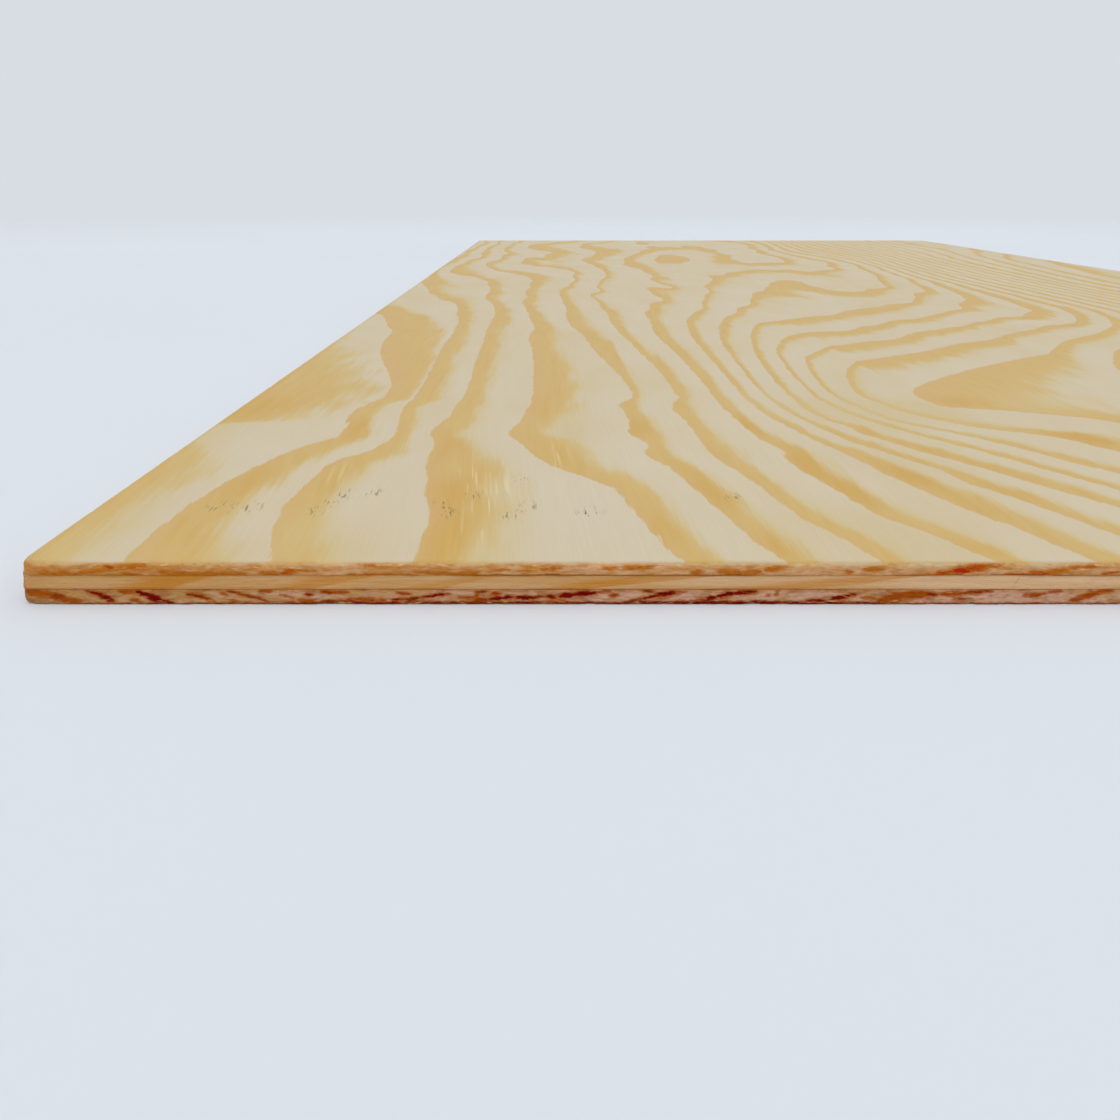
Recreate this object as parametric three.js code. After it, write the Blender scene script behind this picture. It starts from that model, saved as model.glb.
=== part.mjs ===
// A sheet of three-ply softwood plywood, cut to 610 x 1220 mm and lying flat, face side up.
// Millimetres. +Z is up, the face grain runs along Y, and the origin is under the middle of the sheet.
// Three rotary-cut veneers are glued face to face with their grain crossed: the face and the back run
// along Y, the core runs along X. The sheet has been trimmed, so every veneer's edge is a sawn one.

import * as THREE from 'three';

// Size as sold: half of a full sheet's width and half of its length.
const sheetWidth = 610;
const sheetLength = 1220;

// Veneer thicknesses. All three were peeled alike, and sanding took the face down.
const backThickness = 3.25;
const coreThickness = 3.25;
const faceThickness = 2.5;

// Wood dries across its grain and hardly along it. So the core's edge sits back at the two ends, where
// the face and back show end grain, and stands proud at the two sides, where the core shows end grain.
const coreSetbackAtEnds = 0.25;
const coreReachAtSides = 0.25;

// The sawn outline: upright corners blunted by handling, arrises eased by sandpaper and wear.
const cornerRadius = 1.2;
const faceArrisRadius = 0.4;
const backArrisRadius = 0.5;
const cornerSteps = 4;
const arrisSteps = 4;

const finishes = {
  face: { color: '#d0b98f', roughness: 0.62, metalness: 0 },
  core: { color: '#b98f60', roughness: 0.8, metalness: 0 },
  back: { color: '#a9805a', roughness: 0.8, metalness: 0 },
};

// The outline of one veneer at one level, drawn in by inset, as points running anticlockwise.
// The corner arcs keep their centres, so they get smaller as the outline is drawn in. getPoints
// cuts an arc into twice the divisions it is given.
function outlinePoints(width, length, inset) {
  const radius = cornerRadius - inset;
  const centreX = width / 2 - cornerRadius;
  const centreY = length / 2 - cornerRadius;
  const quarter = Math.PI / 2;
  const shape = new THREE.Shape();
  shape.absarc(centreX, centreY, radius, 0, quarter);
  shape.absarc(-centreX, centreY, radius, quarter, 2 * quarter);
  shape.absarc(-centreX, -centreY, radius, 2 * quarter, 3 * quarter);
  shape.absarc(centreX, -centreY, radius, 3 * quarter, 4 * quarter);
  return shape.getPoints(cornerSteps / 2);
}

// A quarter-round arris as a list of { inset, z } levels, from the upright edge to the flat of the
// sheet at flatLevel. toward is +1 for an upper arris and -1 for a lower one.
function arrisLevels(radius, flatLevel, toward) {
  return Array.from({ length: arrisSteps + 1 }, (_, step) => {
    const angle = (step / arrisSteps) * (Math.PI / 2);
    return {
      inset: radius * (1 - Math.cos(angle)),
      z: flatLevel - toward * radius * (1 - Math.sin(angle)),
    };
  });
}

// A closed solid lofted through levels, lowest first, with a flat cap at each end.
function loftedVeneer(width, length, levels) {
  const rings = levels.map(({ inset, z }) =>
    outlinePoints(width, length, inset).map((point) => new THREE.Vector3(point.x, point.y, z)));
  const count = rings[0].length;
  const cap = THREE.ShapeUtils.triangulateShape(rings[0], []);
  const topStart = (rings.length - 1) * count;

  const triangles = [];
  for (const [a, b, c] of cap) {
    triangles.push(c, b, a);
    triangles.push(topStart + a, topStart + b, topStart + c);
  }
  for (let level = 0; level + 1 < rings.length; level += 1) {
    for (let point = 0; point < count; point += 1) {
      const next = (point + 1) % count;
      const below = level * count;
      const above = below + count;
      triangles.push(below + point, below + next, above + next);
      triangles.push(below + point, above + next, above + point);
    }
  }

  const geometry = new THREE.BufferGeometry().setFromPoints(rings.flat());
  geometry.setIndex(triangles);
  geometry.computeVertexNormals();
  return geometry;
}

function veneerMesh(name, geometry, finish) {
  const mesh = new THREE.Mesh(geometry, new THREE.MeshStandardMaterial(finish));
  mesh.name = name;
  return mesh;
}

// The levels where the veneers meet, from the underside up.
const underside = 0;
const backToCore = underside + backThickness;
const coreToFace = backToCore + coreThickness;
const topside = coreToFace + faceThickness;

const outerWidth = sheetWidth - 2 * coreReachAtSides;
const coreLength = sheetLength - 2 * coreSetbackAtEnds;

function backVeneer() {
  const levels = [
    ...arrisLevels(backArrisRadius, underside, -1).reverse(),
    { inset: 0, z: backToCore },
  ];
  return veneerMesh('back_veneer', loftedVeneer(outerWidth, sheetLength, levels), finishes.back);
}

function coreVeneer() {
  const levels = [
    { inset: 0, z: backToCore },
    { inset: 0, z: coreToFace },
  ];
  return veneerMesh('core_veneer', loftedVeneer(sheetWidth, coreLength, levels), finishes.core);
}

function faceVeneer() {
  const levels = [
    { inset: 0, z: coreToFace },
    ...arrisLevels(faceArrisRadius, topside, 1),
  ];
  return veneerMesh('face_veneer', loftedVeneer(outerWidth, sheetLength, levels), finishes.face);
}

const plywoodSheet = new THREE.Group();
plywoodSheet.name = 'plywood_sheet';
plywoodSheet.add(backVeneer(), coreVeneer(), faceVeneer());

export default plywoodSheet;
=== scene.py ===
"""The looks of a three-ply pine plywood sheet: sanded figure, sawn edges and glue lines.

Plan positions are millimetres: u runs to the right from LEFT, w back from the front edge. Heights
are millimetres above the floor. Blender's own units are metres.
"""
import math

import bpy
import numpy as np
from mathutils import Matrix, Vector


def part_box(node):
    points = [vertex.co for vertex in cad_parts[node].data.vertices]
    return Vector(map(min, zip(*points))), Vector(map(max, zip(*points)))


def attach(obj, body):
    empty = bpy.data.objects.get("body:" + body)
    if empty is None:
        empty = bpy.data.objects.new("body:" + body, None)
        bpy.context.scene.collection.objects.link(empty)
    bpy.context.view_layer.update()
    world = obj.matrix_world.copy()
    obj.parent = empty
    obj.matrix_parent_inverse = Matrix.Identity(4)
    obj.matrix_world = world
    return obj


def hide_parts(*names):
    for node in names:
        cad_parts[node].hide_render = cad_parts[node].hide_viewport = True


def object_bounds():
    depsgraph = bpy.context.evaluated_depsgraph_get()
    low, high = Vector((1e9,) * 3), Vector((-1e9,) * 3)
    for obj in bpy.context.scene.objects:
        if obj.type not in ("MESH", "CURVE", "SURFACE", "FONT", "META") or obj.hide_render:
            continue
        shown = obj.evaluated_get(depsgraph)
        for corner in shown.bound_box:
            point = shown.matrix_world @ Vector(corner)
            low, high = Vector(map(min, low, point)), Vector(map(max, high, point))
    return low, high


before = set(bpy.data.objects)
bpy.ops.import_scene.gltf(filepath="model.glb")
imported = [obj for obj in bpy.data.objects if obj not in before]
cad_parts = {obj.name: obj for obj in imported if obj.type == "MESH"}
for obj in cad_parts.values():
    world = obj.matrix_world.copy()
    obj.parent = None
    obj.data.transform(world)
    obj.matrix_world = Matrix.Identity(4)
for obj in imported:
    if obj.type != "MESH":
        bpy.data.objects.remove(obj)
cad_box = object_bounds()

MM = 0.001

# Plan origin, close to the corner of the CAD box that the camera looks at.
LEFT = cad_box[0][0] / MM + 1.7
FRONT = cad_box[0][1] / MM
SHEET_TOP = cad_box[1][2] / MM
GLUE_HEIGHTS = [corner[2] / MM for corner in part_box("core_veneer")]

# The depth in mm in which one growth ring goes by in each peeled veneer.
FACE_RING_DEPTH = 4.6
CORE_RING_DEPTH = 8.0
BACK_RING_DEPTH = 3.2

# The axis that a veneer's fibres run along.
GRAIN_X, GRAIN_Y = 0, 1

# Where the drawn figure ends and where the worked-out one has taken over from it.
FIGURE_W_END, BEYOND_W = 166, 440
FIGURE_U_END, BEYOND_U = 312, 480
EDGE_U_END = 225

# Mesh detail. Steps are fine where the camera is close and grow away from there.
CLOSE_U = 236.0
CLOSE_W = 176.0
STEP_GROWTH = 1.1
RIM = 2.6                 # how far the flat grid stays inside the outline
FLAT_INSET = 1.5          # how far the flat's last plain row stays inside it
FLAT_ROWS = 2             # the strips of the rim that still lie on the flat
CORNER_RADIUS = 1.2
CORNER_COLUMNS = 6
GLUE_DIP = 0.04           # how far an edge is worn in at a glue line
GLUE_MARGIN = 0.12        # how close to the glue line that starts
CHIP_SIZE = {1: 1.0, 0: 0.0, -1: 0.25}    # on the sanded face, the core and the back
INNER_PAST = 2.0          # the core's edge counts as this far down from an arris
FLAT_SLOT = 1             # the flat grid has a lighter material than the rim and the edges

# How far each upright corner is worn round, as radii at the face and at the underside. The corners
# are front left, front right, back left and back right.
TOP_RADII = np.array([3.8, 2.6, 3.0, 2.4])
BOTTOM_RADII = np.array([2.0, 2.4, 2.2, 2.8])


# ---------------------------------------------------------------- growth rings

# The face's dark bands near the front left corner, as drawn. Each point is (w, u of the sharp
# edge, u of the soft edge). The bands run from the left edge to the right.
FACE_BANDS = [
    [(0, -20, 9), (12, -20, 9), (30, -20, 8), (45, -20, 10), (62, -20, 15), (80, -20, 12),
     (92, -20, 6), (105, -20, -2), (122, -20, -2), (130, -20, 21), (140, -20, 29), (157, -20, 38),
     (170, -20, 41)],
    [(0, 20, 42), (12, 19, 37), (25, 19, 33), (40, 20, 34), (60, 23, 37), (72, 26, 38), (85, 30, 43),
     (92, 32, 46), (102, 38, 50), (110, 42, 52), (120, 41, 50), (135, 39, 48), (152, 41, 49),
     (166, 46, 58)],
    [(0, 50, 63), (12, 47, 59), (25, 44, 55), (40, 43, 54), (60, 44, 56), (75, 45, 58), (82, 48, 62),
     (90, 54, 65), (100, 57, 64), (110, 58, 63), (135, 56, 62), (147, 55, 61), (162, 56, 66)],
    [(0, 79, 95), (22, 79, 95), (35, 78, 97), (50, 75, 96), (65, 74, 95), (77, 72, 92), (90, 72, 88),
     (100, 71, 83), (110, 69, 79), (122, 70, 81), (135, 72, 82), (166, 74, 82)],
    [(0, 135, 143), (10, 132, 140), (35, 127, 137), (50, 124, 133), (60, 118, 130), (77, 105, 121),
     (90, 100, 117), (102, 96, 112), (112, 93, 106), (122, 95, 108), (135, 97, 112), (160, 99, 117)],
    [(0, 156, 163), (15, 151, 160), (30, 148, 156), (60, 142, 151), (75, 138, 146), (85, 134, 142),
     (98, 135, 141), (112, 131, 141), (130, 132, 140), (150, 130, 138), (158, 132, 138),
     (166, 136, 139)],
    [(0, 175, 181), (15, 171, 178), (30, 165, 172), (45, 162, 168), (60, 159, 165), (75, 155, 162),
     (90, 152, 160), (110, 151, 157), (130, 150, 156), (145, 148, 155), (166, 152, 157)],
    [(0, 199, 206), (20, 190, 198), (30, 184, 192), (50, 179, 187), (60, 177, 185), (70, 174, 183),
     (78, 173, 183), (90, 174, 182), (100, 171, 178), (110, 169, 175), (130, 167, 172),
     (166, 165, 170)],
    [(0, 219, 229), (22, 212, 221), (35, 206, 217), (50, 201, 212), (60, 198, 209), (70, 195, 205),
     (80, 193, 201), (90, 190, 197), (100, 187, 191), (120, 182, 186), (140, 178, 182),
     (166, 176, 179)],
    [(0, 238, 245), (25, 229, 235), (45, 221, 228), (60, 214, 222), (70, 212, 217), (80, 207, 212),
     (90, 202, 207), (100, 197, 203), (110, 194, 199), (120, 191, 195), (140, 187, 190),
     (166, 184, 186)],
    [(0, 258, 266), (35, 244, 251), (60, 230, 239), (70, 225, 233), (80, 219, 227), (90, 213, 222),
     (100, 208, 215), (110, 203, 210), (120, 201, 207), (130, 196, 200), (150, 193, 197),
     (166, 193, 196)],
    [(0, 276, 283), (60, 246, 251), (80, 236, 241), (90, 231, 236), (100, 225, 230), (110, 219, 223),
     (120, 214, 218), (140, 206, 209), (166, 202, 204)],
    [(0, 296, 304), (60, 262, 268), (80, 250, 258), (90, 245, 251), (100, 239, 246), (110, 232, 238),
     (120, 224, 228), (130, 217, 220), (166, 209, 211)],
    [(0, 316, 330), (60, 290, 306), (85, 272, 290), (95, 267, 284), (105, 261, 278), (110, 255, 275),
     (114, 248, 266), (119, 241, 254), (127, 234, 243), (140, 226, 231), (166, 219, 222)],
    [(0, 340, 356), (85, 316, 336), (115, 298, 320), (130, 286, 310), (138, 272, 302), (144, 258, 296),
     (149, 243, 292), (156, 240, 290), (166, 239, 292)],
    [(0, 366, 378), (100, 348, 362), (166, 332, 344)],
]

# Where the face's dark bands are deeper (above 0) or fainter (below 0), as (u, w, reach along u, reach
# along w, how much).
FACE_TONES = [
    (4, 150, 16, 22, 0.5), (28, 62, 9, 22, 0.4), (26, 22, 7, 10, 0.3), (46, 118, 6, 16, 0.5),
    (50, 66, 6, 20, 0.3), (52, 20, 8, 18, -0.2), (84, 16, 6, 20, 0.8), (82, 50, 7, 16, 0.5),
    (76, 92, 5, 20, 0.4), (92, 12, 3, 20, -0.3), (103, 150, 8, 20, 0.2), (110, 82, 8, 14, 0.3),
    (134, 118, 5, 16, 0.5), (133, 20, 6, 14, 0.3), (146, 48, 5, 20, 0.6), (157, 10, 6, 8, 0.5),
    (159, 68, 5, 18, 0.1), (178, 74, 7, 16, 0.9), (181, 46, 6, 12, 0.6), (170, 118, 4, 16, 0.5),
    (200, 8, 6, 8, 0.3), (203, 64, 6, 12, 0.7), (209, 38, 6, 12, 0.3), (222, 52, 6, 14, 0.3),
    (228, 74, 6, 12, 0.3), (217, 92, 6, 12, 0.3), (207, 112, 5, 10, 0.3), (271, 106, 10, 12, 0.8),
    (250, 157, 11, 10, 0.7), (278, 156, 15, 16, -0.45), (214, 146, 24, 20, -0.55),
    (184, 158, 10, 22, -0.35), (236, 120, 14, 18, -0.3),
]

# How yellow the pale wood is, and where the face's is yellower (above 0) or pinker (below 0).
MEAN_WARMTH = 0.35
FACE_WARMTH = [
    (4, 40, 12, 50, 0.6), (38, 8, 9, 12, 0.5), (62, 8, 9, 12, 0.45), (112, 45, 24, 45, -0.45),
    (62, 45, 9, 25, -0.2), (165, 20, 12, 25, 0.3), (188, 16, 14, 25, 0.35), (214, 80, 22, 60, 0.25),
    (224, 145, 34, 22, 0.55), (20, 105, 12, 20, -0.1), (90, 120, 9, 30, -0.1), (98, 30, 5, 30, 0.3),
    (113, 112, 6, 18, 0.5),
]

# The core's amber bands in its front edge, from right to left. Each point is (depth below its top, u
# of the sharp edge, u of the soft edge). Its tones have the same form as the face's.
CORE_BANDS = [
    [(0, 290, 250), (3.25, 262, 228)],
    [(0, 189, 173), (1.3, 178, 163), (2.3, 171, 153), (3.25, 158, 140)],
    [(0, 146, 127), (1.6, 131, 116), (3.25, 114, 105)],
    [(0, 101, 93), (1.6, 92, 85), (3.25, 87, 77)],
    [(0, 76, 60), (1.6, 67, 57), (3.25, 60, 51)],
    [(0, 43, 28), (1.6, 37, 24), (3.25, 32, 19)],
    [(0, -4, -30), (3.25, -14, -40)],
]
CORE_TONES = [
    (88, 0, 12, 20, -0.45), (62, 0, 9, 20, -0.25), (132, 0, 10, 20, -0.25), (166, 0, 24, 20, -0.35),
    (262, 0, 40, 20, -0.5),
]

# Dark streaks of latewood drawn in the front edge, and a crack in the core. The back's last six strokes
# run along its bottom arris as a dark line, partly latewood and partly painted shade where the edge
# meets the floor. Each is (u, depth below the veneer's top) at both ends, then its thickness and how
# red it is: 0 is orange, 1 maroon.
FACE_STREAKS = [
    (3.8, 2.1, 10.5, 2.2, 1, 0), (4.2, 1.4, 5, 1.9, 0.7, 0), (11.2, 2, 12.8, 1.9, 0.7, 0.1),
    (13.5, 1.7, 19, 1.2, 0.6, 0.2), (17.3, 0.5, 18.2, 0.9, 0.9, 0.5),
    (20.2, 0.6, 24.3, 0.6, 1.1, 0), (20.5, 2.3, 23.5, 2.3, 0.5, 0.1), (28.5, 1.9, 34, 2.2, 1, 0),
    (34, 2.3, 45, 2.4, 1, 0), (49, 2.1, 51.6, 2.1, 1, 0.15), (53, 2, 55, 1.4, 1, 0.5),
    (55.5, 1.5, 59.5, 1.6, 0.4, 0.1), (66, 2.4, 80, 2.4, 0.5, 0), (70, 0.4, 73, 0.4, 0.4, 0),
    (80, 1.8, 88, 2.2, 0.6, 0), (88.8, 2.2, 92.2, 2.1, 1, 0.05), (95.5, 1.4, 99, 1.3, 0.25, 0.1),
    (101, 1.5, 103.5, 1.4, 0.2, 0.2), (106.3, 1.2, 109.3, 0.9, 0.8, 0),
    (107, 2.35, 109, 2.35, 0.4, 0.7), (118.6, 1, 121, 0.9, 0.6, 0.05),
    (122.8, 1, 125, 0.7, 0.8, 0), (125, 0.8, 128, 0.8, 0.8, 0.05),
    (136.8, 2.1, 138, 1.6, 0.9, 0.15), (142.5, 1.7, 146.3, 2.1, 1.1, 0.1),
    (146.5, 2.1, 150, 1.7, 1, 0.05), (151.6, 1.4, 154.8, 0.7, 0.9, 0),
    (168.1, 1.6, 169.1, 1.9, 0.6, 0.3), (172, 1.3, 176, 0.7, 1, 0),
    (183.8, 2.3, 186, 2.3, 0.5, 0.1), (186.3, 2.2, 190, 1.6, 1.1, 0.5),
    (190, 1.6, 192.5, 1.4, 1.6, 0.8), (192, 1.1, 196.3, 0.8, 1.5, 0.5),
    (196.4, 0.5, 199.4, 0.3, 0.8, 0), (200.5, 2.2, 205, 2.3, 0.35, 0.6),
    (205.4, 2, 208.9, 2, 0.8, 0.5), (208.9, 1.9, 212.6, 1.4, 1.1, 0),
    (213.7, 0.8, 216.2, 0.5, 0.7, 0.1), (216.2, 0.6, 218.1, 0.5, 0.8, 0),
    (220.5, 2.1, 223.4, 1.8, 0.5, 0.5),
]
CORE_STREAKS = [
    (203.6, 0.4, 202.9, 1.8, 0.2, 1), (202.9, 1.8, 202.4, 3.1, 0.12, 1),
]
BACK_STREAKS_AND_SHADE_LINE = [
    (0.4, 0.4, 4.6, 0.9, 1.4, 0), (5, 1.3, 7.3, 1.7, 1.5, 0.45), (7.3, 2, 10.5, 2.6, 1.2, 0.2),
    (12.9, 0.2, 14.6, 0.8, 0.7, 0.8), (14.6, 0.8, 17.4, 2.2, 1.1, 1),
    (19.6, 0.3, 21.6, 0.5, 0.9, 0), (21.5, 2, 23.5, 2.8, 0.7, 0),
    (22.9, 0.4, 24.5, 0.9, 0.9, 0.9), (24.5, 1, 27.8, 2.4, 1.5, 1),
    (28.4, 2.3, 29.4, 2.7, 0.9, 1), (29.6, 2.8, 31.2, 3.1, 0.6, 0.9),
    (33.3, 0.9, 36.4, 1.5, 0.8, 0.6), (36.4, 1.6, 38, 2.3, 0.7, 0.5), (39.8, 0.7, 40.9, 1, 0.6, 0.3),
    (41.3, 0.1, 49.2, 2.3, 0.6, 0.55), (41.5, 2.4, 43, 2.5, 0.7, 0.2), (48, 0.2, 50.2, 0.2, 0.6, 0.1),
    (52.1, 1.1, 54.6, 1.5, 0.35, 0.2), (57.3, 1, 58.4, 1, 0.6, 0.7),
    (56.2, 2.2, 59.2, 2.3, 0.6, 0.1), (60.7, 0.5, 65.8, 0.5, 0.6, 0.5),
    (60.5, 2.5, 63.8, 2.5, 0.7, 0.6), (64.2, 2.4, 69.8, 2.4, 0.6, 0.6), (66.8, 2, 71, 2.1, 0.8, 0),
    (72.1, 2.1, 73.2, 2.1, 0.7, 0.3), (75.2, 2.1, 77, 2.1, 0.7, 1), (77, 2, 81, 1.7, 0.6, 0.8),
    (76.4, 0.6, 78.7, 0.9, 0.6, 0.5), (81, 1.5, 86.5, 0.8, 0.6, 0.9), (89, 1.5, 91.3, 1.7, 0.5, 0.2),
    (92.4, 0.3, 94, 0.3, 0.6, 1), (92.4, 0.5, 92.6, 1.7, 0.4, 0), (91.2, 2.3, 94.2, 2.1, 0.9, 0.5),
    (95.1, 1.9, 98, 1.7, 0.9, 1), (98, 1.5, 99.7, 1.5, 0.9, 1), (95.8, 0.7, 97.3, 0.8, 0.6, 0.5),
    (100.7, 1.7, 103.8, 1.7, 0.9, 1), (103.8, 1.6, 106.3, 1.4, 0.7, 0.8),
    (107, 1.4, 108.2, 1.5, 0.9, 0.8), (98.6, 2.4, 100.2, 2.6, 0.4, 0.6),
    (107.6, 2.4, 110.3, 2.3, 0.4, 0), (109.6, 1.2, 112.5, 1, 1, 1),
    (112.5, 0.9, 116.6, 0.6, 1.2, 1), (117, 0.5, 119.7, 0.2, 0.5, 0.3),
    (119.9, 1.2, 121, 1.1, 0.7, 0.3), (127, 0.2, 128.5, 0.3, 0.6, 0.6),
    (123.6, 2.5, 126.2, 1.9, 0.6, 0.6), (127.1, 1.7, 129, 1.3, 0.9, 0.9),
    (129, 1.2, 132.8, 0.6, 1.2, 1), (132.8, 0.5, 135.2, 0.3, 0.6, 0.2),
    (137.4, 2.4, 139.7, 2, 0.6, 0.5), (139.8, 1.9, 141.3, 1.6, 1, 1),
    (142.2, 1.3, 145, 0.7, 1.1, 1), (145, 0.7, 149.5, 0.3, 0.9, 0.9),
    (152, 1, 152.6, 1, 0.5, 0.5), (153.8, 1.1, 154.2, 0.2, 0.4, 0),
    (142, 2.5, 142.9, 2.4, 0.6, 0.4), (159.3, 2.6, 162, 2.1, 0.6, 0.8),
    (162.3, 2.5, 164, 2.3, 0.8, 1), (165.2, 2, 168, 1.5, 0.9, 1),
    (168, 1.4, 170.6, 0.8, 0.7, 0.95), (171.5, 1.6, 175, 1.9, 0.4, 0.1),
    (176, 2.3, 179.8, 1.3, 2.1, 0.25), (179.8, 1.2, 184.5, 0.9, 1.6, 0.25),
    (184.5, 0.9, 186.8, 1, 1, 0.6), (187.6, 0.9, 192.5, 0.7, 0.8, 0.3),
    (192.5, 0.6, 197.8, 0.2, 0.7, 0.55), (190.5, 1.9, 194, 2, 0.5, 0.4),
    (205, 1, 209, 0.8, 0.6, 0.2), (206.3, 1.5, 208, 1.3, 0.5, 0.5), (210, 0.4, 212.4, 0.2, 0.5, 0.2),
    (214.9, 2.2, 217, 1.7, 0.9, 0.3), (217, 1.5, 219.5, 0.7, 1.2, 0.35),
    # The strokes from u 12 at depth 3.1 on make the bottom line: partly latewood, partly painted shade
    # where the edge meets the floor.
    (219.5, 0.5, 222.6, 0.1, 0.8, 0), (12, 3.1, 45, 3.1, 0.5, 0.7), (45, 3.05, 60, 3, 0.8, 0.7),
    (60, 2.97, 121, 2.97, 1, 0.8), (121, 2.95, 162, 2.95, 1.1, 0.9), (162, 3, 176, 3, 0.8, 0.9),
    (176, 3.1, 245, 3.1, 0.5, 0.7),
]

# How far down the front edge the flat's pale wood comes, in mm along u. Below 0 the edge's wood
# shows on the flat instead.
ARRIS_DROP = [
    (0, -0.2), (4, 0.7), (11, 0.7), (13.5, -0.1), (25, 0), (28, 0.4), (38, 0.6), (42, -0.2),
    (47, 0), (51, 0.6), (66, 0.5), (69, -0.1), (79, 0), (82, 0.5), (93, 0.5), (98, 0.3),
    (106, 0.1), (134, 0.1), (137, 1), (147, 0.8), (151, 0.3), (155, 0.5), (160, 0.9), (164, 1),
    (169, 0.8), (173, 0.5), (178, 1.1), (188, 1.3), (191, 0.1), (198, -0.4), (201, 0.8), (207, 0.9),
    (211, 0.6), (214, -0.1), (245, -0.1),
]

# How pinkish the wood is along u, in the front edge of the outer veneers and of the core. The rest
# is tan.
EDGE_PINKNESS = [
    (0, 0), (30, 0.1), (42, 0.3), (60, 0.55), (80, 0.5), (100, 0.5), (118, 0.85), (140, 0.7),
    (156, 0.9), (172, 0.6), (196, 0.95), (220, 0.7), (240, 0.4),
]
CORE_PINKNESS = [
    (0, 0.1), (40, 0.15), (60, 0.25), (100, 0.35), (125, 0.4), (150, 0.5), (170, 0.6), (186, 0.85),
    (240, 0.85),
]

# How dark the glue line under the face veneer is along u. Where it is faint the stain beside it is
# too. The other glue line is the same all along.
SEAM_DARKNESS = [
    (0, 0.1), (12, 0.12), (20, 0.3), (26, 0.05), (50, 0.15), (60, 0.1), (86, 0.1), (94, 0.9),
    (124, 0.9), (130, 0.4), (135, 0.9), (147, 0.9), (152, 0.15), (166, 0.1), (176, 0.1), (184, 0.7),
    (196, 0.3), (200, 0.6), (212, 0.8), (216, 0.4), (240, 0.6),
]
OTHER_SEAM_DARKNESS = 0.25

# Handling specks and pale torn fibres on the face, in the same form as the tones.
SPECKS = [(u, w, 1.7, 3.2, 1.0) for u, w in [
    (27, 38), (32, 37), (36, 37), (52, 35), (54, 43), (56, 48), (63, 49), (81, 39), (83, 33),
    (88, 46), (98, 32), (99, 60), (102, 38), (115, 31), (117, 33), (152, 46)]]
TORN_FIBRES = [
    (86, 62, 3, 14, 1), (90, 24, 3, 18, 1), (94, 44, 3, 14, 1), (98, 58, 3, 10, 0.9),
    (92, 74, 3, 10, 0.8), (88, 86, 3, 10, 0.7), (108, 84, 4, 12, 0.7), (50, 66, 3, 10, 0.6),
]


def smoothstep(low, high, value):
    t = np.clip((value - low) / (high - low), 0, 1)
    return t * t * (3 - 2 * t)


def smooth_line(knots, values, at):
    """A curve through given points, with no overshoot at its bends."""
    knots, values = np.asarray(knots, float), np.asarray(values, float)
    step = np.diff(values) / np.diff(knots)
    before, after = step[:-1], step[1:]
    both = np.where(before * after > 0, before + after, np.inf)
    slope = np.concatenate([step[:1], 2 * before * after / both, step[-1:]])
    at = np.clip(at, knots[0], knots[-1])
    i = np.clip(np.searchsorted(knots, at, side="right") - 1, 0, len(knots) - 2)
    width = knots[i + 1] - knots[i]
    t = (at - knots[i]) / width
    return ((1 + 2 * t) * (1 - t) ** 2 * values[i] + t * (1 - t) ** 2 * width * slope[i]
            + t * t * (3 - 2 * t) * values[i + 1] + t * t * (t - 1) * width * slope[i + 1])


def swell(u, w, across, along, seed, waves=14):
    """Smooth rolling, about 1 up and down, in waves about across mm by along mm in size."""
    random = np.random.default_rng(seed)
    total = np.zeros(np.broadcast(u, w).shape)
    for _ in range(waves):
        turn, phase = random.uniform(0, 2 * np.pi), random.uniform(0, 2 * np.pi)
        size = random.uniform(0.6, 1.7)
        path = math.cos(turn) / across * u + math.sin(turn) / along * w
        total += np.cos(2 * np.pi * size * path + phase) / size
    return total / math.sqrt(waves / 2)


def spots(u, w, places):
    """The sum of soft spots, each (u, w, reach along u, reach along w, amount)."""
    total = np.zeros_like(u)
    for spot_u, spot_w, reach_u, reach_w, amount in places:
        total += amount * np.exp(-((u - spot_u) / reach_u) ** 2 - ((w - spot_w) / reach_w) ** 2)
    return total


def drawn_rings(bands, across, along):
    """Ring number and latewood share from drawn bands. A ring number is whole on a sharp edge."""
    sharp, soft = ([smooth_line([point[0] for point in band], [point[side] for point in band], along)
                    for band in bands] for side in (1, 2))
    last = len(bands) - 1
    ring = np.where(across < sharp[0], (across - sharp[0]) / 30, last + (across - sharp[last]) / 24)
    share = np.full_like(ring, 0.4)
    for k in range(last):
        gap = np.maximum(sharp[k + 1] - sharp[k], 2)
        inside = (across >= sharp[k]) & (across < sharp[k + 1])
        ring = np.where(inside, k + (across - sharp[k]) / gap, ring)
        share = np.where(inside, (soft[k] - sharp[k]) / gap, share)
    return ring, share


def face_rings(u, w, depth):
    """Growth rings in the face: the drawn bands near the front left corner, long arches beyond."""
    ring, share = drawn_rings(FACE_BANDS, u, w)
    beyond = np.maximum(smoothstep(FIGURE_W_END, BEYOND_W, w), smoothstep(FIGURE_U_END, BEYOND_U, u))
    rolls = (1.8 * swell(u, w, 420, 1500, 6) + 0.30 * swell(u, w, 120, 420, 9)
             + 0.06 * swell(u, w, 34, 80, 10))
    crown = 6.0 * np.exp(-((u - 400 + 0.03 * w) / 150) ** 2) * smoothstep(100, 1150, w)
    ring = ring + beyond * (0.6 + u / 27 + rolls - crown - ring)
    far_share = 0.36 + 0.10 * swell(u, w, 160, 700, 21)
    return ring + depth / FACE_RING_DEPTH, share + (far_share - share) * beyond


def back_rings(u, w, depth):
    """Growth rings in the back veneer."""
    rolls = (1.6 * swell(u, w, 380, 1300, 31) + 0.35 * swell(u, w, 110, 400, 32)
             + 0.06 * swell(u, w, 30, 80, 33))
    crown = 5.0 * np.exp(-((u - 250 - 0.04 * w) / 130) ** 2) * smoothstep(0, 900, w)
    return u / 24 + rolls - crown + depth / BACK_RING_DEPTH, 0.34 + 0.08 * swell(u, w, 90, 500, 34)


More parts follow.
